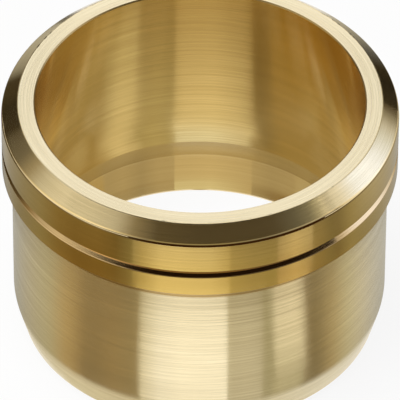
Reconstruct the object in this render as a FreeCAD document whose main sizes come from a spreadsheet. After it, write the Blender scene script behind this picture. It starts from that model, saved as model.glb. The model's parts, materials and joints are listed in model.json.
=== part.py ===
import FreeCAD, Part
import os
import Sketcher

# A compression olive: a brass ring turned in one piece, which slides over a pipe and is squeezed by a nut.
# The nose stands on z = 0, the collar is at the top, and the pipe runs along the Z axis.

NODE = "compression_olive"

# Driving sizes: millimetres, and degrees for the angle.
SIZES = {
    "pipe_diameter": "15.0",
    "pipe_clearance": "0.1",
    "body_wall": "1.1",
    "shoulder_width": "0.45",
    "overall_height": "12.6",
    "chamfer_width": "0.75",
    "chamfer_height": "0.67",
    "upper_band_height": "1.64",
    "groove_width": "0.3",
    "groove_depth": "0.18",
    "lower_band_height": "1.15",
    "nose_length": "1.54",
    "nose_angle": "15.0",
    "nose_blend_radius": "2.0",
    "nose_tip_round": "0.12",
    "relief_depth": "0.15",
    "relief_length": "3.3",
    "relief_taper_length": "0.95",
    "bore_edge_break": "0.06",
    "collar_edge_round": "0.26",
    "collar_foot_round": "0.08",
}

# Radii worked out from the driving sizes, from the pipe outwards.
BORE_RADIUS = "(sizes.pipe_diameter / 2 + sizes.pipe_clearance)"
RELIEF_RADIUS = f"({BORE_RADIUS} + sizes.relief_depth)"
BODY_RADIUS = f"({BORE_RADIUS} + sizes.body_wall)"
COLLAR_RADIUS = f"({BODY_RADIUS} + sizes.shoulder_width)"
FACE_RADIUS = f"({COLLAR_RADIUS} - sizes.chamfer_width)"
TIP_RADIUS = f"({BODY_RADIUS} - sizes.nose_length * tan(sizes.nose_angle))"
GROOVE_ROOT_RADIUS = f"({COLLAR_RADIUS} - sizes.groove_depth)"
GROOVE_MOUTH_RADIUS = f"({COLLAR_RADIUS} + sizes.groove_depth)"

# Heights worked out from the driving sizes, from the top face down.
TOP = "sizes.overall_height"
CHAMFER_FOOT = f"({TOP} - sizes.chamfer_height)"
GROOVE_TOP = f"({CHAMFER_FOOT} - sizes.upper_band_height)"
GROOVE_MIDDLE = f"({GROOVE_TOP} - sizes.groove_width / 2)"
GROOVE_MOUTH_TOP = f"({GROOVE_TOP} + sizes.groove_width / 2)"
GROOVE_BOTTOM = f"({GROOVE_TOP} - sizes.groove_width)"
GROOVE_MOUTH_BOTTOM = f"({GROOVE_BOTTOM} - sizes.groove_width / 2)"
COLLAR_FOOT = f"({GROOVE_BOTTOM} - sizes.lower_band_height)"
NOSE_TOP = "sizes.nose_length"
RELIEF_TOP = "sizes.relief_length"
RELIEF_TAPER_FOOT = "(sizes.relief_length - sizes.relief_taper_length)"
FLOOR = "0"

FULL_TURN = 360
START_INDEX = 1
END_INDEX = 2
HORIZONTAL_AXIS_INDEX = -1
SAME_PLACE = 1e-6


def make_sheet(doc):
    """Write the driving sizes into a spreadsheet, one named cell each."""
    sheet = doc.addObject("Spreadsheet::Sheet", "sizes")
    for row, (name, value) in enumerate(SIZES.items(), start=1):
        sheet.set(f"A{row}", name)
        sheet.set(f"B{row}", value)
        sheet.setAlias(f"B{row}", name)
    doc.recompute()


def place_corner(sketch, line, radius, height):
    """Hold the first point of a line at a radius and a height that follow the sheet."""
    across = sketch.addConstraint(
        Sketcher.Constraint("DistanceX", line, START_INDEX, sketch.evalExpression(radius))
    )
    sketch.setExpression(f"Constraints[{across}]", radius)
    if height == FLOOR:
        sketch.addConstraint(Sketcher.Constraint("PointOnObject", line, START_INDEX, HORIZONTAL_AXIS_INDEX))
        return
    up = sketch.addConstraint(
        Sketcher.Constraint("DistanceY", line, START_INDEX, sketch.evalExpression(height))
    )
    sketch.setExpression(f"Constraints[{up}]", height)


def draw_section(body, name, corners):
    """Draw a closed outline in the half plane through the axis; each corner is a radius and a height."""
    sketch = body.newObject("Sketcher::SketchObject", name)
    plane = next(item for item in body.Origin.OriginFeatures if item.Role == "XZ_Plane")
    sketch.AttachmentSupport = (plane, [""])
    sketch.MapMode = "FlatFace"
    places = [
        FreeCAD.Vector(sketch.evalExpression(radius), sketch.evalExpression(height), 0)
        for radius, height in corners
    ]
    count = len(corners)
    for line in range(count):
        sketch.addGeometry(Part.LineSegment(places[line], places[(line + 1) % count]))
    for line, (radius, height) in enumerate(corners):
        before = (line - 1) % count
        sketch.addConstraint(Sketcher.Constraint("Coincident", before, END_INDEX, line, START_INDEX))
        place_corner(sketch, line, radius, height)
    return sketch


def turn(body, kind, name, sketch):
    """Turn a section right round the axis, to add metal or to cut it away."""
    feature = body.newObject(kind, name)
    feature.Profile = sketch
    feature.ReferenceAxis = (sketch, ["V_Axis"])
    feature.Angle = FULL_TURN
    body.Document.recompute()
    return feature


def ring_edge(feature, radius, height):
    """Find the name of the round edge that lies at a radius and a height."""
    wanted_radius = feature.evalExpression(radius)
    wanted_height = feature.evalExpression(height)
    for number, edge in enumerate(feature.Shape.Edges, start=1):
        if not isinstance(edge.Curve, Part.Circle):
            continue
        radius_fits = abs(edge.Curve.Radius - wanted_radius) < SAME_PLACE
        height_fits = abs(edge.Curve.Center.z - wanted_height) < SAME_PLACE
        if radius_fits and height_fits:
            return f"Edge{number}"
    raise RuntimeError(f"{feature.Name} has no round edge at radius {radius}, height {height}")


def dress_edges(body, kind, name, base, size_property, size_name, places):
    """Round or chamfer round edges of the feature before; each place is a radius and a height."""
    feature = body.newObject(kind, name)
    feature.Base = (base, [ring_edge(base, radius, height) for radius, height in places])
    feature.setExpression(size_property, f"sizes.{size_name}")
    body.Document.recompute()
    return feature


def round_edge(body, base, size_name, radius, height):
    """Round one edge, with the size that gives the feature its name."""
    return dress_edges(
        body, "PartDesign::Fillet", f"round_{size_name}", base, "Radius", size_name, [(radius, height)]
    )


def make_ring(body):
    """Turn the plain ring: collar with its chamfer, straight body, tapered nose and relieved bore."""
    section = draw_section(
        body,
        "ring_section",
        [
            (RELIEF_RADIUS, FLOOR),
            (TIP_RADIUS, FLOOR),
            (BODY_RADIUS, NOSE_TOP),
            (BODY_RADIUS, COLLAR_FOOT),
            (COLLAR_RADIUS, COLLAR_FOOT),
            (COLLAR_RADIUS, CHAMFER_FOOT),
            (FACE_RADIUS, TOP),
            (BORE_RADIUS, TOP),
            (BORE_RADIUS, RELIEF_TOP),
            (RELIEF_RADIUS, RELIEF_TAPER_FOOT),
        ],
    )
    return turn(body, "PartDesign::Revolution", "ring", section)


def cut_collar_groove(body, ring):
    """Cut the V groove that parts the collar into an upper and a lower band."""
    section = draw_section(
        body,
        "collar_groove_section",
        [
            (GROOVE_ROOT_RADIUS, GROOVE_MIDDLE),
            (GROOVE_MOUTH_RADIUS, GROOVE_MOUTH_BOTTOM),
            (GROOVE_MOUTH_RADIUS, GROOVE_MOUTH_TOP),
        ],
    )
    grooved = turn(body, "PartDesign::Groove", "collar_groove", section)
    if grooved.Shape.Volume >= ring.Shape.Volume:
        raise RuntimeError("the collar groove cuts nothing")
    return grooved


def finish_edges(body, grooved):
    """Blend the nose into the body, round the outer edges and break both edges of the bore."""
    blended = round_edge(body, grooved, "nose_blend_radius", BODY_RADIUS, NOSE_TOP)
    tipped = round_edge(body, blended, "nose_tip_round", TIP_RADIUS, FLOOR)
    edged = round_edge(body, tipped, "collar_edge_round", COLLAR_RADIUS, CHAMFER_FOOT)
    footed = round_edge(body, edged, "collar_foot_round", COLLAR_RADIUS, COLLAR_FOOT)
    return dress_edges(
        body,
        "PartDesign::Chamfer",
        "bore_edges",
        footed,
        "Size",
        "bore_edge_break",
        [(BORE_RADIUS, TOP), (RELIEF_RADIUS, FLOOR)],
    )


def make_olive(doc):
    """Build the olive as one body."""
    body = doc.addObject("PartDesign::Body", NODE)
    body.Label = NODE
    body.Placement = FreeCAD.Placement()
    ring = make_ring(body)
    grooved = cut_collar_groove(body, ring)
    body.Tip = finish_edges(body, grooved)
    doc.recompute()
    return body


def check(doc, body):
    """Stop if any step of the model failed or the olive isn't one sound solid."""
    for item in doc.Objects:
        if {"Invalid", "Error"} & set(item.State):
            raise RuntimeError(f"{item.Name} failed: {item.State}")
    shape = body.Shape
    if shape.isNull() or not shape.isValid() or len(shape.Solids) != 1:
        raise RuntimeError(f"{body.Label} is not one sound solid")


doc = FreeCAD.newDocument("compression_olive_model")
make_sheet(doc)
olive = make_olive(doc)
check(doc, olive)
os.makedirs("parts", exist_ok=True)
olive.Shape.exportStep(os.path.join("parts", f"{olive.Label}.step"))
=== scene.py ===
import json
import math

import bpy
from mathutils import Euler, Matrix, Vector, noise


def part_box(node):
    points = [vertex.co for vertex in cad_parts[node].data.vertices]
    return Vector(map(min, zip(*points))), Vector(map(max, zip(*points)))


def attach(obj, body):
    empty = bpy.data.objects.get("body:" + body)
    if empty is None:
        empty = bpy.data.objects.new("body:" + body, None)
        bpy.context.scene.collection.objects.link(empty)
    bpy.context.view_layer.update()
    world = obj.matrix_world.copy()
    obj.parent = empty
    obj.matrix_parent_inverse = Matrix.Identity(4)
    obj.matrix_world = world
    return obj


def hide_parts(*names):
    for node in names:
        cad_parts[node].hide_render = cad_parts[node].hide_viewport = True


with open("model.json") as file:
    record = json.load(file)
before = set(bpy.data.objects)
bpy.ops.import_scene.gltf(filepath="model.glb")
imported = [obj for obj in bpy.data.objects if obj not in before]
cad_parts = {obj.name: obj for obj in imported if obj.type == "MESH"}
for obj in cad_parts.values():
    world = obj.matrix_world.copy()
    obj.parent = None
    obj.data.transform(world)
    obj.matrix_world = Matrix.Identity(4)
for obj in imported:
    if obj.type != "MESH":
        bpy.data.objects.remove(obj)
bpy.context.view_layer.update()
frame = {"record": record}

# The looks of a brass compression olive: the turned ring with a finish of its own for each surface, some
# painted darker as shade, standing on a pale floor under studio cards, seen as in the photo. Lengths are in
# metres.

NODE = "compression_olive"
BODY = "root"
MM = 0.001

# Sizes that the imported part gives.
box_low, box_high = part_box(NODE)
mounts = {mount["name"]: mount for mount in frame["record"]["mounts"]}
HEIGHT = box_high.z - box_low.z
COLLAR_RADIUS = (box_high.x - box_low.x) / 2
BODY_RADIUS = mounts["body_outside"]["dims"]["r_mm"] * MM
BORE_RADIUS = mounts["pipe_bore"]["dims"]["r_mm"] * MM

# Sizes of the turned section, as in the part's source.
CHAMFER_WIDTH = 0.75 * MM
CHAMFER_HEIGHT = 0.67 * MM
UPPER_BAND_HEIGHT = 1.64 * MM
GROOVE_WIDTH = 0.3 * MM
GROOVE_DEPTH = 0.18 * MM
LOWER_BAND_HEIGHT = 1.15 * MM
NOSE_LENGTH = 1.54 * MM
NOSE_ANGLE = math.radians(15)
RELIEF_DEPTH = 0.15 * MM
RELIEF_LENGTH = 3.3 * MM
RELIEF_TAPER_LENGTH = 0.95 * MM
BORE_EDGE_BREAK = 0.06 * MM

# How much wider the groove is shown at each lip than in the part's source, with its slopes kept.
GROOVE_SPREAD = 0.04 * MM

# Roundings of the section's corners.
NOSE_BLEND = 2.0 * MM
NOSE_TIP_ROUND = 0.12 * MM
COLLAR_EDGE_ROUND = 0.26 * MM
COLLAR_FOOT_ROUND = 0.08 * MM
CRISP_ROUND = 0.03 * MM
FINE_ROUND = 0.015 * MM
LOWER_LIP_ROUND = 0.05 * MM
WORN_ROUND = 0.1 * MM
UNROUNDED = 0.0

# Fineness of the mesh.
TURN_STEPS = 480
ARC_STEPS = 6

# Wear on the outer edge of the top face: the depth and the length of its spots.
WEAR_DEPTH = 0.07 * MM
WEAR_LENGTH = 0.3 * MM

# Height of the strip of painted shade on the body under the collar, where the collar's underside shades it.
PAINTED_SHADE_STRIP = 0.5 * MM


# The turned ring


def section_corners():
    """The section, corner by corner: radius, height, rounding, and the finishes of the rounding and of the
    side that follows it."""
    chamfer_foot = HEIGHT - CHAMFER_HEIGHT
    groove_top = chamfer_foot - UPPER_BAND_HEIGHT
    groove_bottom = groove_top - GROOVE_WIDTH
    groove_middle = (groove_top + groove_bottom) / 2
    shown_depth = GROOVE_DEPTH * (1 + 2 * GROOVE_SPREAD / GROOVE_WIDTH)
    groove_root = COLLAR_RADIUS - shown_depth
    collar_foot = groove_bottom - LOWER_BAND_HEIGHT
    face_radius = COLLAR_RADIUS - CHAMFER_WIDTH
    tip_radius = BODY_RADIUS - NOSE_LENGTH * math.tan(NOSE_ANGLE)
    relief_radius = BORE_RADIUS + RELIEF_DEPTH
    taper_foot = RELIEF_LENGTH - RELIEF_TAPER_LENGTH
    return [
        (tip_radius, 0.0, NOSE_TIP_ROUND, "body", "body"),
        (BODY_RADIUS, NOSE_LENGTH, NOSE_BLEND, "body", "body"),
        # The corner finish from here up round the collar's foot is painted shade, where the collar shades
        # the body.
        (BODY_RADIUS, collar_foot - PAINTED_SHADE_STRIP, UNROUNDED, "corner", "corner"),
        (BODY_RADIUS, collar_foot, CRISP_ROUND, "corner", "corner"),
        (COLLAR_RADIUS, collar_foot, COLLAR_FOOT_ROUND, "corner", "bands"),
        (COLLAR_RADIUS, groove_bottom - GROOVE_SPREAD, LOWER_LIP_ROUND, "groove", "groove"),
        (groove_root, groove_middle, FINE_ROUND, "groove", "groove"),
        (COLLAR_RADIUS, groove_top + GROOVE_SPREAD, FINE_ROUND, "bands", "bands"),
        (COLLAR_RADIUS, chamfer_foot, COLLAR_EDGE_ROUND, "edge", "chamfer"),
        (face_radius, HEIGHT, WORN_ROUND, "chamfer", "face"),
        # The corner finish on the break at the top of the bore is painted shade along that edge.
        (BORE_RADIUS + BORE_EDGE_BREAK, HEIGHT, FINE_ROUND, "face", "corner"),
        (BORE_RADIUS, HEIGHT - BORE_EDGE_BREAK, FINE_ROUND, "bore", "bore"),
        (BORE_RADIUS, RELIEF_LENGTH, CRISP_ROUND, "bore", "taper"),
        (relief_radius, taper_foot, CRISP_ROUND, "taper", "relief"),
        (relief_radius, BORE_EDGE_BREAK, FINE_ROUND, "relief", "relief"),
        (relief_radius + BORE_EDGE_BREAK, 0.0, FINE_ROUND, "relief", "face"),
    ]


def outward(start, end):
    """The direction out of the metal from a side of the section, which runs up the outside."""
    along = (end - start).normalized()
    return Vector((along.y, -along.x))


def round_corner(before, corner, after, rounding):
    """Points of the arc that rounds a corner, each with the direction out of the metal there."""
    if rounding == UNROUNDED:
        return [(corner, outward(corner, after))]
    back = (before - corner).normalized()
    on = (after - corner).normalized()
    half_angle = back.angle(on) / 2
    centre = corner + (back + on).normalized() * rounding / math.sin(half_angle)
    reach = rounding / math.tan(half_angle)
    start = corner + back * reach - centre
    end = corner + on * reach - centre
    turn = math.atan2(start.x * end.y - start.y * end.x, start.dot(end))
    points = []
    for step in range(ARC_STEPS + 1):
        arm = Matrix.Rotation(turn * step / ARC_STEPS, 2) @ start
        points.append((centre + arm, arm.normalized() * math.copysign(1.0, turn)))
    return points


def section_points():
    """Points of the rounded section: place, direction out of the metal, finish of what follows, and share
    of the wear."""
    corners = section_corners()
    count = len(corners)
    places = [Vector((radius, height)) for radius, height, *_ in corners]
    points = []
    for index, (*_, rounding, arc_finish, side_finish) in enumerate(corners):
        after = places[(index + 1) % count]
        arc = round_corner(places[index - 1], places[index], after, rounding)
        for step, (place, normal) in enumerate(arc):
            finish = side_finish if step == len(arc) - 1 else arc_finish
            worn = math.sin(math.pi * step / ARC_STEPS) if rounding == WORN_ROUND else 0.0
            points.append((place, normal, finish, worn))
    return points


def turned(place, angle):
    """A place or direction of the section, turned round the axis."""
    return Vector((place.x * math.cos(angle), place.x * math.sin(angle), place.y))


def wear(place):
    """How far an edge has worn away at a place, in metres."""
    return WEAR_DEPTH * max(0.0, noise.noise(place / WEAR_LENGTH))


def make_ring(finishes):
    """Turn the section round the axis, with a material for each finish."""
    section = section_points()
    names = list(finishes)
    count = len(section)
    vertices = []
    normals = []
    faces = []
    materials = []
    for step in range(TURN_STEPS):
        angle = 2 * math.pi * step / TURN_STEPS
        here = step * count
        beyond = (step + 1) % TURN_STEPS * count
        for index, (place, normal, finish, worn) in enumerate(section):
            vertex = turned(place, angle)
            direction = turned(normal, angle)
            vertices.append(vertex - direction * worn * wear(vertex))
            normals.append(direction)
            following = (index + 1) % count
            faces.append((here + index, beyond + index, beyond + following, here + following))
            materials.append(names.index(finish))
    mesh = bpy.data.meshes.new("olive_ring")
    mesh.from_pydata(vertices, [], faces)
    mesh.polygons.foreach_set("material_index", materials)
    mesh.polygons.foreach_set("use_smooth", [True] * len(faces))
    for name in names:
        mesh.materials.append(finishes[name])
    mesh.update()
    mesh.normals_split_custom_set_from_vertices(normals)
    ring = bpy.data.objects.new("olive_ring", mesh)
    bpy.context.scene.collection.objects.link(ring)
    return ring


# Brass finishes; those of the bands, groove, bore, taper and corner are painted darker as shade

# Turning marks: the range that most of the noise keeps to, the two sizes of streaks and their shares.
NOISE_LOW = 0.25
NOISE_HIGH = 0.75
NOISE_SCALE = 1.0
FINE_DETAIL = 3.0
BROAD_DETAIL = 2.0
BROAD_LENGTH = 3.0
BROAD_WIDTH = 5.0
FINE_SHARE = 0.72
BROAD_SHARE = 0.28

# Settings of the shaders, and places of their sockets that have no name of their own.
ACROSS_THE_MARKS = 0.25
BUMP_STRENGTH = 1.0
METAL = 1.0
OPAQUE = 1.0
SQUARE_ROOT = 0.5
ADDED_SOCKET = 2
FIRST_SHADER = 1
SECOND_SHADER = 2


def new_material(name):
    """An empty material: the material and its node tree."""
    material = bpy.data.materials.new(name)
    material.use_nodes = True
    material.node_tree.nodes.clear()
    return material, material.node_tree


def add_math(tree, operation, first, second):
    """A math node; each input is a socket or a number. Returns its output."""
    node = tree.nodes.new("ShaderNodeMath")
    node.operation = operation
    for socket, value in zip(node.inputs, (first, second)):
        if isinstance(value, bpy.types.NodeSocket):
            tree.links.new(value, socket)
        else:
            socket.default_value = value
    return node.outputs["Value"]


def turning_place(tree):
    """Coordinates that run across the turning marks in Z, on flat, sloping and upright sides alike."""
    where = tree.nodes.new("ShaderNodeTexCoord").outputs["Object"]
    parts = tree.nodes.new("ShaderNodeSeparateXYZ")
    tree.links.new(where, parts.inputs["Vector"])
    square = add_math(tree, "MULTIPLY", parts.outputs["X"], parts.outputs["X"])
    square_sum = add_math(tree, "MULTIPLY_ADD", parts.outputs["Y"], parts.outputs["Y"])
    tree.links.new(square, square_sum.node.inputs[ADDED_SOCKET])
    radius = add_math(tree, "POWER", square_sum, SQUARE_ROOT)
    across = add_math(tree, "SUBTRACT", parts.outputs["Z"], radius)
    place = tree.nodes.new("ShaderNodeCombineXYZ")
    tree.links.new(parts.outputs["X"], place.inputs["X"])
    tree.links.new(parts.outputs["Y"], place.inputs["Y"])
    tree.links.new(across, place.inputs["Z"])
    return place.outputs["Vector"]


def marks(tree, place, length, width, detail):
    """Streaks of a length along the turning and a width across it, from 0 to 1."""
    stretch = tree.nodes.new("ShaderNodeMapping")
    stretch.inputs["Scale"].default_value = (1 / length, 1 / length, 1 / width)
    tree.links.new(place, stretch.inputs["Vector"])
    streaks = tree.nodes.new("ShaderNodeTexNoise")
    streaks.inputs["Scale"].default_value = NOISE_SCALE
    streaks.inputs["Detail"].default_value = detail
    tree.links.new(stretch.outputs["Vector"], streaks.inputs["Vector"])
    return streaks.outputs["Fac"]


def spread(tree, value, low, high):
    """Map a noise value, which keeps near the middle, onto a range."""
    node = tree.nodes.new("ShaderNodeMapRange")
    node.inputs["From Min"].default_value = NOISE_LOW
    node.inputs["From Max"].default_value = NOISE_HIGH
    node.inputs["To Min"].default_value = low
    node.inputs["To Max"].default_value = high
    tree.links.new(value, node.inputs["Value"])
    return node.outputs["Result"]


def turned_brass(name, pale, deep, gloss, anisotropy, mark_length, mark_width, mark_depth):
    """Brass with turning marks: streaks of two tones, of varying gloss, and slightly raised.
    Gloss is the roughness of the smoothest and of the roughest streaks."""
    material, tree = new_material(name)
    place = turning_place(tree)
    fine = marks(tree, place, mark_length, mark_width, FINE_DETAIL)
    broad = marks(tree, place, BROAD_LENGTH * mark_length, BROAD_WIDTH * mark_width, BROAD_DETAIL)
    fine_part = add_math(tree, "MULTIPLY", fine, FINE_SHARE)
    broad_part = add_math(tree, "MULTIPLY", broad, BROAD_SHARE)
    both = add_math(tree, "ADD", fine_part, broad_part)

    tone = tree.nodes.new("ShaderNodeMix")
    tone.data_type = "RGBA"
    tree.links.new(spread(tree, both, 0.0, 1.0), tone.inputs["Factor"])
    tone.inputs["A"].default_value = (*deep, OPAQUE)
    tone.inputs["B"].default_value = (*pale, OPAQUE)

    bump = tree.nodes.new("ShaderNodeBump")
    bump.inputs["Strength"].default_value = BUMP_STRENGTH
    bump.inputs["Distance"].default_value = mark_depth
    tree.links.new(fine, bump.inputs["Height"])

    tangent = tree.nodes.new("ShaderNodeTangent")
    tangent.direction_type = "RADIAL"
    tangent.axis = "Z"

    smoothest, roughest = gloss
    brass = tree.nodes.new("ShaderNodeBsdfPrincipled")
    brass.inputs["Metallic"].default_value = METAL
    brass.inputs["Anisotropic"].default_value = anisotropy
    brass.inputs["Anisotropic Rotation"].default_value = ACROSS_THE_MARKS
    tree.links.new(tone.outputs["Result"], brass.inputs["Base Color"])
    tree.links.new(spread(tree, fine, roughest, smoothest), brass.inputs["Roughness"])
    tree.links.new(bump.outputs["Normal"], brass.inputs["Normal"])
    tree.links.new(tangent.outputs["Tangent"], brass.inputs["Tangent"])
    output = tree.nodes.new("ShaderNodeOutputMaterial")
    tree.links.new(brass.outputs["BSDF"], output.inputs["Surface"])
    return material


def body_finish():
    """The straight body and nose: brushed along the turning."""
    return turned_brass(
        "brushed_body",
        pale=(0.98, 0.85, 0.58),
        deep=(0.81, 0.68, 0.43),
        gloss=(0.18, 0.25),
        anisotropy=1.0,
        mark_length=5.0 * MM,
        mark_width=0.055 * MM,
        mark_depth=0.0003 * MM,
    )


def shaded_corner_finish():
    """Painted shade: darker, dull brass for the corner under the collar, the strip of body beneath it and
    the break at the top of the bore, where shade falls.
    """
    return turned_brass(
        "painted_shade_corner",
        pale=(0.62, 0.44, 0.20),
        deep=(0.50, 0.34, 0.14),
        gloss=(0.25, 0.35),
        anisotropy=0.6,
        mark_length=6.0 * MM,
        mark_width=0.08 * MM,
        mark_depth=0.0006 * MM,
    )


def shaded_band_finish():
    """The collar's two bands: finely turned and glossy, painted a deeper, more saturated gold than the
    body's brass, as painted shade for the dim, gold-tinted floor that they mirror.
    """
    return turned_brass(
        "gold_bands_painted_shade",
        pale=(0.85, 0.615, 0.225),
        deep=(0.75, 0.535, 0.18),
        gloss=(0.10, 0.15),
        anisotropy=0.8,
        mark_length=6.0 * MM,
        mark_width=0.065 * MM,
        mark_depth=0.0003 * MM,
    )


def chamfer_finish():
    """The sloping edge of the collar."""
    return turned_brass(
        "turned_slope",
        pale=(0.96, 0.81, 0.53),
        deep=(0.83, 0.68, 0.41),
        gloss=(0.11, 0.16),
        anisotropy=0.9,
        mark_length=4.0 * MM,
        mark_width=0.06 * MM,
        mark_depth=0.0006 * MM,
    )


def edge_finish():
    """The rounded outer edge of the collar: rubbed smooth."""
    return turned_brass(
        "rubbed_edge",
        pale=(0.96, 0.78, 0.46),
        deep=(0.82, 0.63, 0.33),
        gloss=(0.05, 0.08),
        anisotropy=0.0,
        mark_length=3.0 * MM,
        mark_width=0.05 * MM,
        mark_depth=0.0002 * MM,
    )


def shaded_groove_finish():
    """The groove in the collar: cut smooth, and painted darker than the collar's brass as shade in the
    recess.
    """
    return turned_brass(
        "cut_groove_painted_shade",
        pale=(0.88, 0.64, 0.35),
        deep=(0.66, 0.46, 0.23),
        gloss=(0.05, 0.08),
        anisotropy=0.3,
        mark_length=5.0 * MM,
        mark_width=0.05 * MM,
        mark_depth=0.0003 * MM,
    )


def face_finish():
    """The flat faces: faced off with fine rings."""
    return turned_brass(
        "faced_ends",
        pale=(0.98, 0.87, 0.63),
        deep=(0.82, 0.70, 0.47),
        gloss=(0.22, 0.30),
        anisotropy=0.9,
        mark_length=5.0 * MM,
        mark_width=0.08 * MM,
        mark_depth=0.0008 * MM,
    )


def shaded_bore_finish():
    """The bore: finely bored, and painted deeper and darker than the body's brass, as painted shade for the
    dim, warm light inside the ring.
    """
    return turned_brass(
        "bored_inside_painted_shade",
        pale=(0.79, 0.595, 0.268),
        deep=(0.62, 0.45, 0.172),
        gloss=(0.13, 0.18),
        anisotropy=1.0,
        mark_length=6.0 * MM,
        mark_width=0.055 * MM,
        mark_depth=0.0008 * MM,
    )


def relief_finish():
    """The wider foot of the bore: paler than the bore, in the tone of the body's brass, as the bore above it
    is painted deeper.
    """
    return turned_brass(
        "bored_relief",
        pale=(1.0, 0.86, 0.58),
        deep=(0.90, 0.74, 0.46),
        gloss=(0.13, 0.18),
        anisotropy=1.0,
        mark_length=6.0 * MM,
        mark_width=0.055 * MM,
        mark_depth=0.0008 * MM,
    )


def shaded_taper_finish():
    """The taper between the bore and its relief: cut a little rougher, and painted darker than the relief as
    shade for the dimmer light that its downward slope mirrors.
    """
    return turned_brass(
        "bored_taper_painted_shade",
        pale=(0.81, 0.66, 0.38),
        deep=(0.70, 0.55, 0.29),
        gloss=(0.14, 0.20),
        anisotropy=1.0,
        mark_length=5.0 * MM,
        mark_width=0.08 * MM,
        mark_depth=0.0008 * MM,
    )


# Camera, from a fit of the photo's circles

LENS = 654.87
SENSOR = 36.0
CAMERA_DISTANCE = 334.13 * MM
CAMERA_SIDE = 0.0152 * MM
CAMERA_ELEVATION = math.radians(41.381)
CAMERA_PITCH = math.radians(42.165)
CAMERA_ROLL = math.radians(0.332)
CAMERA_PLACE = Vector((
    CAMERA_SIDE,
    -CAMERA_DISTANCE * math.cos(CAMERA_ELEVATION),
    CAMERA_DISTANCE * math.sin(CAMERA_ELEVATION) + HEIGHT,
))
CAMERA_NEAR = 0.01
CAMERA_FAR = 10.0


# Studio

# Floor, lamp and world.
FLOOR_RADIUS = 0.9
FLOOR_STEPS = 96
FULL_TURN = 360
RIM_HEIGHT = 0.05
FLOOR_COLOUR = (0.85, 0.85, 0.85, OPAQUE)
FLOOR_GLOW = 0.9
LAMP_PLACE = (-0.12, -0.06, 0.6)
LAMP_SIZE = 0.35
LAMP_POWER = 4.0
WORLD_COLOUR = (0.012, 0.006, 0.003, OPAQUE)

# Heights of the cards on the floor, where one lies over another, and how finely a card follows its tones.
LIFT = 0.02 * MM
SECOND_LIFT = 2 * LIFT
THIRD_LIFT = 3 * LIFT
SPAN_STEPS = 6
EDGE_POINTS = 2

# Distances of the cards on the floor along the mirrored views, or as shares of the way to where they cross.
CONTACT_NEAR = -0.5 * MM
BODY_NEAR = 0.85 * MM
BODY_LOW_FAR = 3.8 * MM
BODY_FAR = 9.4 * MM
BAND_FAR = 14.5 * MM
SIDE_FLOOR_FAR = 80 * MM
FRONT_FLOOR_FAR = 400 * MM
BORE_NEAR = 1.1
BORE_FAR = 4.0
RELIEF_NEAR = 0.02
RELIEF_FAR = 0.21
BORE_FENCE_DISTANCE = 2.5 * MM
BORE_FENCE_HEIGHT = 2.0 * MM
RELIEF_FENCE_DISTANCE = 0.8 * MM
RELIEF_FENCE_HEIGHT = 1.9 * MM

# How strong the body's stripes are at the edge near the ring and at the far one.
BODY_NEAR_SHARE = 0.82
BODY_FAR_SHARE = 1.20

# Cards in the air for the slope: distances, and angles below and above the mirrored view, in degrees.
LIGHT_REACH = 0.2
LIGHT_BELOW = 38
LIGHT_ABOVE = 3
FRONT_BELOW = 9
FRONT_ABOVE = 0.5
FLAG_REACH = 30 * MM
FLAG_BELOW = 14
FLAG_ABOVE = 14

# Cards far from the object: distance, and the elevations of their edges in degrees.
SKY_REACH = 0.4
BACK_LOW = 8
BACK_HIGH = 78
STRIP_LOW = 14
STRIP_HIGH = 40
HORIZON_LOW = 0
HORIZON_HIGH = 5
WALL_LOW = 4
WALL_HIGH = 40
TOP_LOW = 76
TOP_HIGH = 90

# Where the slope's side lights have their full height and where they are lowest, in degrees round the ring.
LEFT_FULL = -52
LEFT_LOWEST = -12
RIGHT_FULL = 56
RIGHT_LOWEST = 40

# Where the stripes on the body and the bands meet or end, in degrees round the ring.
SIDE_LEFT = -89
SIDE_RIGHT = 89
FRONT_LEFT = -18.3
FRONT_RIGHT = 8.7
THIN_DARK_LEFT = 19.7
THIN_DARK_RIGHT = 23.1
RIGHT_LIGHT_END = 33.6
BAND_FRONT_LEFT = -19
BAND_LIGHT_LEFT = 22.5

# Where the stripes in the bore meet or end, in degrees round the ring from its back.
BORE_LEFT_END = -36
BORE_DARK_LEFT = -22.4
BORE_LIGHT_LEFT = -9
BORE_LIGHT_RIGHT = 18.6
BORE_DARK_RIGHT = 25.5
RELIEF_RIGHT_END = 36

# Tints of the cards.
WHITE = (1.0, 1.0, 0.97)
COOL = (1.0, 1.08, 1.2)
ICE = (1.0, 1.13, 1.5)
PALE = (1.0, 0.95, 0.78)
GREEN = (1.0, 0.94, 0.65)
STRAW = (1.0, 0.89, 0.52)
CORN = (1.0, 0.87, 0.42)
WARM = (1.0, 0.80, 0.42)
BROWN = (1.0, 0.73, 0.33)
AMBER = (1.0, 0.63, 0.18)
HONEY = (1.0, 0.62, 0.08)
RUST = (1.0, 0.45, 0.12)


def facing(azimuth, elevation):
    """Direction at an azimuth, from the camera's side towards the right, and an elevation, in degrees."""
    turn = math.radians(azimuth)
    rise = math.radians(elevation)
    return Vector((math.sin(turn) * math.cos(rise), -math.cos(turn) * math.cos(rise), math.sin(rise)))


def mirrored(wall, azimuth):
    """Level direction of the camera's view after an upright wall that faces an azimuth has turned it."""
    view = wall - CAMERA_PLACE
    return facing(2 * azimuth + math.degrees(math.atan2(view.x, view.y)), 0)


def stage_mesh(name, vertices, faces, material):
    """A mesh of the stage, which isn't part of the object."""
    mesh = bpy.data.meshes.new(name)
    mesh.from_pydata(vertices, [], faces)
    mesh.materials.append(material)
    piece = bpy.data.objects.new(name, mesh)
    bpy.context.scene.collection.objects.link(piece)
    return piece


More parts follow.
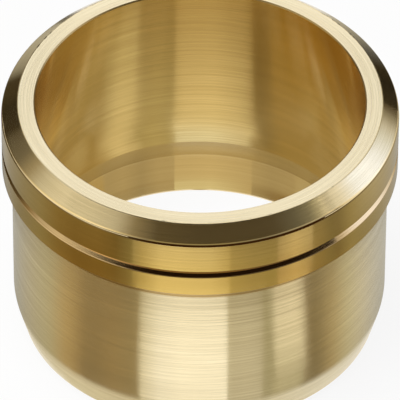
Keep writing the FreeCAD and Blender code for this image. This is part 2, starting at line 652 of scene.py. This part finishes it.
def card_light():
    """The light of the cards, which each point of a card gives for itself."""
    material, tree = new_material("card_light")
    tone = tree.nodes.new("ShaderNodeAttribute")
    tone.attribute_name = "tone"
    light = tree.nodes.new("ShaderNodeEmission")
    tree.links.new(tone.outputs["Color"], light.inputs["Color"])
    output = tree.nodes.new("ShaderNodeOutputMaterial")
    tree.links.new(light.outputs["Emission"], output.inputs["Surface"])
    return material


def lit(tint, strength):
    """The colour of a card's point."""
    return Vector(tint) * strength


def card(name, stops, edge_at, material):
    """A card that the object mirrors and the camera doesn't see. Each stop is an angle and the tones of the
    card's two edges there, and edge_at gives the two ends of the card's edge at an angle."""
    columns = []
    for here, beyond in zip(stops, stops[1:]):
        start, near, far = here
        end, next_near, next_far = beyond
        for step in range(SPAN_STEPS):
            share = step / SPAN_STEPS
            angle = start + (end - start) * share
            columns.append((angle, near.lerp(next_near, share), far.lerp(next_far, share)))
    columns.append(stops[-1])
    vertices = []
    tones = []
    faces = []
    for index, (angle, near_tone, far_tone) in enumerate(columns):
        vertices.extend(edge_at(angle))
        tones.extend([*near_tone, OPAQUE, *far_tone, OPAQUE])
        if index:
            corner = EDGE_POINTS * index
            before = corner - EDGE_POINTS
            faces.append((before, corner, corner + 1, before + 1))
    piece = stage_mesh(name, vertices, faces, material)
    piece.data.attributes.new("tone", "FLOAT_COLOR", "POINT").data.foreach_set("color", tones)
    piece.visible_camera = False
    piece.visible_diffuse = False
    piece.visible_shadow = False
    return piece


def plain_stops(stops):
    """Stops whose two edges have the same tone, from an angle, a tint and a strength each."""
    return [(angle, lit(tint, strength), lit(tint, strength)) for angle, tint, strength in stops]


def paired_stops(stops):
    """Stops from an angle and the tint and strength of each edge."""
    return [
        (angle, lit(near_tint, near), lit(far_tint, far))
        for angle, near_tint, near, far_tint, far in stops
    ]


def outside_edge(near, far, lift):
    """Edges on the floor that the body mirrors upright: the camera's view, after the wall has turned it."""

    def edge_at(angle):
        start = facing(angle, 0) * BODY_RADIUS + Vector((0, 0, lift))
        path = mirrored(start, angle)
        return start + path * near, start + path * far

    return edge_at


def bore_edge(wall_radius, near, far):
    """Edges on the floor inside the ring that the back of the bore mirrors upright. The ends are shares of
    the way to where the mirrored views cross."""

    def edge_at(angle):
        side = wall_radius * math.sin(math.radians(angle))
        depth = wall_radius * math.cos(math.radians(angle))
        start = Vector((side, depth, SECOND_LIFT))
        path = mirrored(start, -angle)
        crossing = wall_radius ** 2 / (2 * depth)
        limit = 2 * depth
        return start + path * crossing * near, start + path * min(crossing * far, limit)

    return edge_at


def fence_edge(wall_radius, distance, height):
    """Edges of a low upright card inside the ring, mirrored by the foot of a wall before the views cross."""

    def edge_at(angle):
        side = wall_radius * math.sin(math.radians(angle))
        depth = wall_radius * math.cos(math.radians(angle))
        start = Vector((side, depth, THIRD_LIFT))
        foot = start + mirrored(start, -angle) * distance
        return foot, foot + Vector((0, 0, height))

    return edge_at


def bore_disc(angle):
    """The floor inside the ring, from the back wall to the front wall."""
    radius = BORE_RADIUS + RELIEF_DEPTH
    side = radius * math.sin(math.radians(angle))
    depth = radius * math.cos(math.radians(angle))
    return Vector((side, depth, LIFT)), Vector((side, -depth, LIFT))


def slope_edge(below, above_at, reach):
    """Edges in the air that the collar's slope mirrors, from an angle below the mirrored view to one above.
    above_at gives the angle above for each angle round the ring."""
    middle_radius = COLLAR_RADIUS - CHAMFER_WIDTH / 2
    middle_height = HEIGHT - CHAMFER_HEIGHT / 2
    slope_rise = math.degrees(math.atan2(CHAMFER_WIDTH, CHAMFER_HEIGHT))
    view = facing(0, math.degrees(CAMERA_ELEVATION))

    def edge_at(angle):
        start = facing(angle, 0) * middle_radius + Vector((0, 0, middle_height))
        normal = facing(angle, slope_rise)
        path = normal * (2 * normal.dot(view)) - view
        azimuth = math.degrees(math.atan2(path.x, -path.y))
        elevation = math.degrees(math.asin(path.z))
        low = facing(azimuth, elevation - below)
        high = facing(azimuth, elevation + above_at(angle))
        return start + low * reach, start + high * reach

    return edge_at


def steady(above):
    """The same angle above the mirrored view all along a card."""
    return lambda angle: above


def fading(full, lowest):
    """An angle above the mirrored view that shrinks between two angles round the ring."""

    def above_at(angle):
        share = (angle - full) / (lowest - full)
        share = min(max(share, 0.0), 1.0)
        return LIGHT_ABOVE + (FRONT_ABOVE - LIGHT_ABOVE) * share

    return above_at


def sky_edge(low, high):
    """Edges of a card far from the object, between two elevations."""

    def edge_at(azimuth):
        return facing(azimuth, low) * SKY_REACH, facing(azimuth, high) * SKY_REACH

    return edge_at


def floor_material():
    """Pale floor: near white to the camera and in reflections, with the object's shadow left on it."""
    material, tree = new_material("pale_floor")
    path = tree.nodes.new("ShaderNodeLightPath")
    seen = add_math(tree, "MAXIMUM", path.outputs["Is Camera Ray"], path.outputs["Is Glossy Ray"])
    seen = add_math(tree, "MAXIMUM", seen, path.outputs["Is Transmission Ray"])
    share = add_math(tree, "MULTIPLY", seen, FLOOR_GLOW)
    matt = tree.nodes.new("ShaderNodeBsdfDiffuse")
    matt.inputs["Color"].default_value = FLOOR_COLOUR
    glow = tree.nodes.new("ShaderNodeEmission")
    mix = tree.nodes.new("ShaderNodeMixShader")
    tree.links.new(share, mix.inputs["Fac"])
    tree.links.new(matt.outputs["BSDF"], mix.inputs[FIRST_SHADER])
    tree.links.new(glow.outputs["Emission"], mix.inputs[SECOND_SHADER])
    output = tree.nodes.new("ShaderNodeOutputMaterial")
    tree.links.new(mix.outputs["Shader"], output.inputs["Surface"])
    return material


def make_floor():
    """A round floor with a low rim, so that it fills the view from every side."""
    vertices = [Vector((0, 0, 0))]
    faces = []
    for step in range(FLOOR_STEPS):
        direction = facing(FULL_TURN * step / FLOOR_STEPS, 0)
        vertices.append(direction * FLOOR_RADIUS)
        vertices.append(direction * FLOOR_RADIUS + Vector((0, 0, RIM_HEIGHT)))
    for step in range(FLOOR_STEPS):
        here = 1 + EDGE_POINTS * step
        beyond = 1 + EDGE_POINTS * ((step + 1) % FLOOR_STEPS)
        faces.append((0, here, beyond))
        faces.append((here, here + 1, beyond + 1, beyond))
    return stage_mesh("floor", vertices, faces, floor_material())


def make_lamp():
    """A soft lamp over the object, for its shadow on the floor."""
    data = bpy.data.lights.new("soft_lamp", "AREA")
    data.size = LAMP_SIZE
    data.energy = LAMP_POWER
    lamp = bpy.data.objects.new("soft_lamp", data)
    bpy.context.scene.collection.objects.link(lamp)
    lamp.location = LAMP_PLACE
    lamp.rotation_euler = Vector(LAMP_PLACE).to_track_quat("Z", "Y").to_euler()
    lamp.visible_glossy = False


def make_world():
    """A dim, warm room round the cards."""
    world = bpy.data.worlds.new("dim_room")
    world.use_nodes = True
    world.node_tree.nodes["Background"].inputs["Color"].default_value = WORLD_COLOUR
    bpy.context.scene.world = world


def body_lights(material):
    """Stripes of light on the floor for the straight body, and the floor at its foot."""
    stripes = {
        "body_left": [
            (SIDE_LEFT, COOL, 0.51), (-73, WHITE, 0.50), (-62, PALE, 0.51), (-52, GREEN, 0.49),
            (-45, BROWN, 0.49), (-41.5, BROWN, 0.43), (-37.5, BROWN, 0.27), (-33, BROWN, 0.27),
            (-27, BROWN, 0.33), (FRONT_LEFT, WARM, 0.34),
        ],
        "body_front": [
            (FRONT_LEFT, PALE, 0.86), (-12, WHITE, 1.16), (-5, WHITE, 1.28), (FRONT_RIGHT, WHITE, 1.23),
        ],
        "body_middle": [(FRONT_RIGHT, PALE, 0.66), (15, PALE, 0.68), (THIN_DARK_LEFT, PALE, 0.64)],
        "body_thin_dark": [(THIN_DARK_LEFT, GREEN, 0.46), (THIN_DARK_RIGHT, GREEN, 0.46)],
        "body_right_light": [(THIN_DARK_RIGHT, PALE, 0.94), (RIGHT_LIGHT_END, PALE, 0.99)],
        "body_right": [
            (RIGHT_LIGHT_END, WARM, 0.24), (39, WARM, 0.25), (45, WARM, 0.46), (51, GREEN, 0.57),
            (58, PALE, 0.62), (66, WHITE, 0.56), (SIDE_RIGHT, COOL, 0.46),
        ],
    }
    for name, stops in stripes.items():
        shaded = [
            (angle, lit(tint, strength * BODY_NEAR_SHARE), lit(tint, strength * BODY_FAR_SHARE))
            for angle, tint, strength in stops
        ]
        card(name, shaded, outside_edge(BODY_NEAR, BODY_FAR, LIFT), material)
    low = [(THIN_DARK_RIGHT, GREEN, 0.48), (RIGHT_LIGHT_END, GREEN, 0.44)]
    card("body_right_low", plain_stops(low), outside_edge(BODY_NEAR, BODY_LOW_FAR, SECOND_LIFT), material)
    contact = [
        (SIDE_LEFT, PALE, 0.72), (-35, PALE, 0.74), (0, PALE, 0.66), (45, WHITE, 0.84),
        (SIDE_RIGHT, WHITE, 0.86),
    ]
    card("contact", plain_stops(contact), outside_edge(CONTACT_NEAR, BODY_NEAR, LIFT), material)


def band_lights(material):
    """Stripes of light on the floor for the collar's bands, and the dark floor and horizon that its rounded
    edge mirrors."""
    stripes = {
        "band_left": [
            (SIDE_LEFT, WHITE, 0.15, WHITE, 0.43), (-84, WHITE, 0.20, WHITE, 0.46),
            (-76, WHITE, 0.31, WHITE, 0.50), (-70, WHITE, 0.29, WHITE, 0.39),
            (-64, PALE, 0.22, WHITE, 0.40), (-52, STRAW, 0.245, PALE, 0.36),
            (-44, BROWN, 0.195, WARM, 0.31), (-38, AMBER, 0.18, WARM, 0.265),
            (-30, AMBER, 0.20, WARM, 0.28), (-24, BROWN, 0.195, WARM, 0.21),
            (-21, WARM, 0.24, GREEN, 0.255), (BAND_FRONT_LEFT, STRAW, 0.31, GREEN, 0.31),
        ],
        "band_front": [
            (BAND_FRONT_LEFT, STRAW, 0.42, PALE, 0.45), (-16, CORN, 0.52, PALE, 0.65),
            (-11, STRAW, 0.79, WHITE, 0.93), (-6, STRAW, 0.78, WHITE, 1.01),
            (3, STRAW, 0.745, WHITE, 0.88), (FRONT_RIGHT, CORN, 0.57, PALE, 0.65),
        ],
        "band_middle": [
            (FRONT_RIGHT, CORN, 0.50, PALE, 0.50), (15, CORN, 0.385, PALE, 0.43),
            (BAND_LIGHT_LEFT, CORN, 0.375, PALE, 0.38),
        ],
        "band_right_light": [
            (BAND_LIGHT_LEFT, BROWN, 0.41, WHITE, 0.56), (28, BROWN, 0.51, WHITE, 0.87),
            (RIGHT_LIGHT_END, BROWN, 0.33, WHITE, 0.76),
        ],
        "band_right": [
            (RIGHT_LIGHT_END, WARM, 0.33, PALE, 0.40), (36, WARM, 0.31, PALE, 0.365),
            (40, STRAW, 0.24, PALE, 0.26), (43, WARM, 0.17, PALE, 0.295),
            (48, STRAW, 0.255, PALE, 0.44), (54, STRAW, 0.205, WHITE, 0.57),
            (60, PALE, 0.235, WHITE, 0.60), (68, WHITE, 0.355, WHITE, 0.50),
            (80, WHITE, 0.40, WHITE, 0.455), (84, WHITE, 0.33, WHITE, 0.37),
            (SIDE_RIGHT, WHITE, 0.24, WHITE, 0.41),
        ],
    }
    for name, stops in stripes.items():
        card(name, paired_stops(stops), outside_edge(BODY_FAR, BAND_FAR, LIFT), material)
    beyond = [
        (SIDE_LEFT, PALE, 0.16, BROWN, 0.05), (-60, WARM, 0.12, BROWN, 0.05),
        (-50, BROWN, 0.17, PALE, 0.45), (-26, BROWN, 0.17, PALE, 0.55),
        (-20, BROWN, 0.10, WARM, 0.12), (-14, RUST, 0.05, RUST, 0.04),
        (31, RUST, 0.05, RUST, 0.04), (38, BROWN, 0.12, WARM, 0.15),
        (46, WARM, 0.22, GREEN, 0.30), (60, PALE, 0.30, PALE, 0.60),
        (SIDE_RIGHT, PALE, 0.40, PALE, 0.60),
    ]
    card("floor_beyond", paired_stops(beyond), outside_edge(BAND_FAR, SIDE_FLOOR_FAR, LIFT), material)
    dark = [(-18, RUST, 0.04), (33, RUST, 0.04)]
    card("dark_floor", plain_stops(dark), outside_edge(SIDE_FLOOR_FAR, FRONT_FLOOR_FAR, LIFT), material)
    horizon = [(-36, RUST, 0.05), (66, RUST, 0.05)]
    card("dark_horizon", plain_stops(horizon), sky_edge(HORIZON_LOW, HORIZON_HIGH), material)


def bore_lights(material):
    """Stripes of light inside the ring, for the bore and, next to the wall, for its relief."""
    disc = [(-90, HONEY, 0.44, BROWN, 0.30), (90, GREEN, 0.51, WARM, 0.34)]
    card("bore_floor", paired_stops(disc), bore_disc, material)
    bore = {
        "bore_left_light": [
            (BORE_LEFT_END, PALE, 0.76, GREEN, 0.52), (-30, PALE, 1.05, GREEN, 0.65),
            (BORE_DARK_LEFT, PALE, 0.80, GREEN, 0.61),
        ],
        "bore_left_dark": [
            (BORE_DARK_LEFT, GREEN, 0.52, WARM, 0.34), (-16, GREEN, 0.65, WARM, 0.40),
            (BORE_LIGHT_LEFT, GREEN, 0.54, WARM, 0.33),
        ],
        "bore_light": [
            (BORE_LIGHT_LEFT, PALE, 1.05, WARM, 0.48), (4, PALE, 1.12, WARM, 0.49),
            (BORE_LIGHT_RIGHT, PALE, 0.85, WARM, 0.40),
        ],
        "bore_right_dark": [
            (BORE_LIGHT_RIGHT, WARM, 0.30, BROWN, 0.18), (BORE_DARK_RIGHT, WARM, 0.32, BROWN, 0.20),
        ],
    }
    for name, stops in bore.items():
        card(name, paired_stops(stops), bore_edge(BORE_RADIUS, BORE_NEAR, BORE_FAR), material)
    low = {
        "bore_left_light_low": [
            (BORE_LEFT_END, PALE, 0.76), (-30, PALE, 1.05), (BORE_DARK_LEFT, PALE, 0.80),
        ],
        "bore_left_dark_low": [
            (BORE_DARK_LEFT, GREEN, 0.52), (-16, GREEN, 0.65), (BORE_LIGHT_LEFT, GREEN, 0.54),
        ],
        "bore_light_low": [
            (BORE_LIGHT_LEFT, COOL, 1.02), (4, COOL, 1.10), (BORE_LIGHT_RIGHT, WHITE, 0.85),
        ],
        "bore_right_dark_low": [(BORE_LIGHT_RIGHT, WARM, 0.30), (BORE_DARK_RIGHT, WARM, 0.32)],
    }
    bore_fence = fence_edge(BORE_RADIUS, BORE_FENCE_DISTANCE, BORE_FENCE_HEIGHT)
    for name, stops in low.items():
        card(name, plain_stops(stops), bore_fence, material)
    relief = {
        "relief_left": [
            (BORE_LEFT_END, WARM, 0.34), (-28, WARM, 0.38), (-21, WARM, 0.34), (-15, WARM, 0.42),
            (BORE_LIGHT_LEFT, WARM, 0.44),
        ],
        "relief_light": [
            (BORE_LIGHT_LEFT, STRAW, 0.64), (4, STRAW, 0.68), (BORE_LIGHT_RIGHT, WARM, 0.52),
        ],
        "relief_right": [
            (BORE_LIGHT_RIGHT, WARM, 0.38), (26, BROWN, 0.28), (RELIEF_RIGHT_END, AMBER, 0.25),
        ],
    }
    relief_radius = BORE_RADIUS + RELIEF_DEPTH
    for name, stops in relief.items():
        card(name, plain_stops(stops), bore_edge(relief_radius, RELIEF_NEAR, RELIEF_FAR), material)
    relief_high = {
        "relief_left_high": [
            (BORE_LEFT_END, WARM, 0.40), (-28, WARM, 0.44), (-21, WARM, 0.38), (-15, WARM, 0.45),
            (BORE_LIGHT_LEFT, WARM, 0.46),
        ],
        "relief_light_high": [
            (BORE_LIGHT_LEFT, WARM, 0.55), (4, WARM, 0.59), (BORE_LIGHT_RIGHT, WARM, 0.50),
        ],
        "relief_right_high": [
            (BORE_LIGHT_RIGHT, WARM, 0.44), (26, WARM, 0.39), (RELIEF_RIGHT_END, WARM, 0.42),
        ],
    }
    relief_fence = fence_edge(relief_radius, RELIEF_FENCE_DISTANCE, RELIEF_FENCE_HEIGHT)
    for name, stops in relief_high.items():
        card(name, plain_stops(stops), relief_fence, material)


def slope_lights(material):
    """Lights and dark flags in the air for the collar's slope, and for the groove's lower side."""
    lights = {
        "left_light": [
            (-80, BROWN, 0.05, BROWN, 0.045), (-66, PALE, 0.30, WARM, 0.10),
            (-60, PALE, 0.50, WARM, 0.30), (-54, PALE, 0.78, PALE, 0.57),
            (-47, PALE, 1.10, PALE, 0.73), (-34, PALE, 1.20, PALE, 0.82),
            (-25, PALE, 1.35, PALE, 0.66), (-19, PALE, 0.80, WARM, 0.30),
            (LEFT_LOWEST, PALE, 0.24, WARM, 0.13),
        ],
        "right_light": [
            (RIGHT_LOWEST, PALE, 0.74, PALE, 0.74), (46, WHITE, 1.0, WHITE, 1.0),
            (53, ICE, 1.15, ICE, 1.15), (60, ICE, 1.24, ICE, 1.24), (66, ICE, 1.10, ICE, 1.10),
            (75, COOL, 0.75, COOL, 0.80), (80, WHITE, 0.50, WHITE, 0.62),
            (84, PALE, 0.30, PALE, 0.32), (88, BROWN, 0.08, BROWN, 0.08),
            (97, BROWN, 0.03, BROWN, 0.03),
        ],
    }
    tops = {"left_light": fading(LEFT_FULL, LEFT_LOWEST), "right_light": fading(RIGHT_FULL, RIGHT_LOWEST)}
    for name, stops in lights.items():
        card(name, paired_stops(stops), slope_edge(LIGHT_BELOW, tops[name], LIGHT_REACH), material)
    front = [
        (LEFT_LOWEST, WARM, 0.15), (0, WARM, 0.115), (22, WARM, 0.12), (29, GREEN, 0.16),
        (34, GREEN, 0.30), (37, GREEN, 0.62), (RIGHT_LOWEST, PALE, 1.15),
    ]
    front_slope = slope_edge(FRONT_BELOW, steady(FRONT_ABOVE), LIGHT_REACH)
    card("front_dim", plain_stops(front), front_slope, material)
    flags = {
        "left_flag": [
            (-130, PALE, 0.54), (-112, PALE, 0.38), (-106, PALE, 0.28), (-101, BROWN, 0.055),
            (-95, BROWN, 0.05), (-88, BROWN, 0.03), (-78, BROWN, 0.04),
        ],
        "right_flag": [
            (90, BROWN, 0.03), (100, BROWN, 0.015), (108, BROWN, 0.03), (116, WHITE, 0.11),
            (130, PALE, 0.38),
        ],
    }
    for name, stops in flags.items():
        card(name, plain_stops(stops), slope_edge(FLAG_BELOW, steady(FLAG_ABOVE), FLAG_REACH), material)


def sky_lights(material):
    """Lights far from the object: behind it for the flat face, a strip in front for the collar's rounded
    edge, and dimmer ones at the sides and above."""
    back = [(165, WHITE, 1.07), (195, WHITE, 1.07)]
    card("back_light", plain_stops(back), sky_edge(BACK_LOW, BACK_HIGH), material)
    strip = [
        (-45, STRAW, 0.32), (12, STRAW, 0.30), (35, PALE, 0.24), (60, PALE, 0.40), (85, WHITE, 0.75),
    ]
    card("front_strip", plain_stops(strip), sky_edge(STRIP_LOW, STRIP_HIGH), material)
    walls = {
        "left_wall": [(-155, PALE, 0.4), (-75, PALE, 0.4)],
        "right_wall": [(75, PALE, 0.4), (155, PALE, 0.4)],
    }
    for name, stops in walls.items():
        card(name, plain_stops(stops), sky_edge(WALL_LOW, WALL_HIGH), material)
    shoulders = {
        "left_shoulder": [(-165, WHITE, 0.75), (-85, WHITE, 0.55)],
        "right_shoulder": [(85, WHITE, 0.55), (165, WHITE, 0.75)],
    }
    for name, stops in shoulders.items():
        card(name, plain_stops(stops), sky_edge(WALL_HIGH, TOP_LOW), material)
    top = [(-180, WHITE, 0.5), (180, WHITE, 0.5)]
    card("top_light", plain_stops(top), sky_edge(TOP_LOW, TOP_HIGH), material)


def make_lights():
    """All the cards round the object."""
    material = card_light()
    body_lights(material)
    band_lights(material)
    bore_lights(material)
    slope_lights(material)
    sky_lights(material)


def make_camera():
    """A long lens that looks down on the ring from the front."""
    data = bpy.data.cameras.new("camera")
    data.lens = LENS
    data.sensor_width = SENSOR
    data.clip_start = CAMERA_NEAR
    data.clip_end = CAMERA_FAR
    camera = bpy.data.objects.new("camera", data)
    bpy.context.scene.collection.objects.link(camera)
    camera.location = CAMERA_PLACE
    look = Euler((math.pi / 2 - CAMERA_PITCH, 0, 0)).to_matrix()
    roll = Matrix.Rotation(CAMERA_ROLL, 3, "Z")
    camera.rotation_euler = (look @ roll).to_euler()
    bpy.context.scene.camera = camera


ring = make_ring({
    "body": body_finish(),
    "corner": shaded_corner_finish(),
    "bands": shaded_band_finish(),
    "chamfer": chamfer_finish(),
    "edge": edge_finish(),
    "groove": shaded_groove_finish(),
    "face": face_finish(),
    "bore": shaded_bore_finish(),
    "relief": relief_finish(),
    "taper": shaded_taper_finish(),
})
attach(ring, BODY)
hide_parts(NODE)

make_floor()
make_lamp()
make_world()
make_lights()
make_camera()
bpy.context.scene.view_settings.view_transform = "Standard"
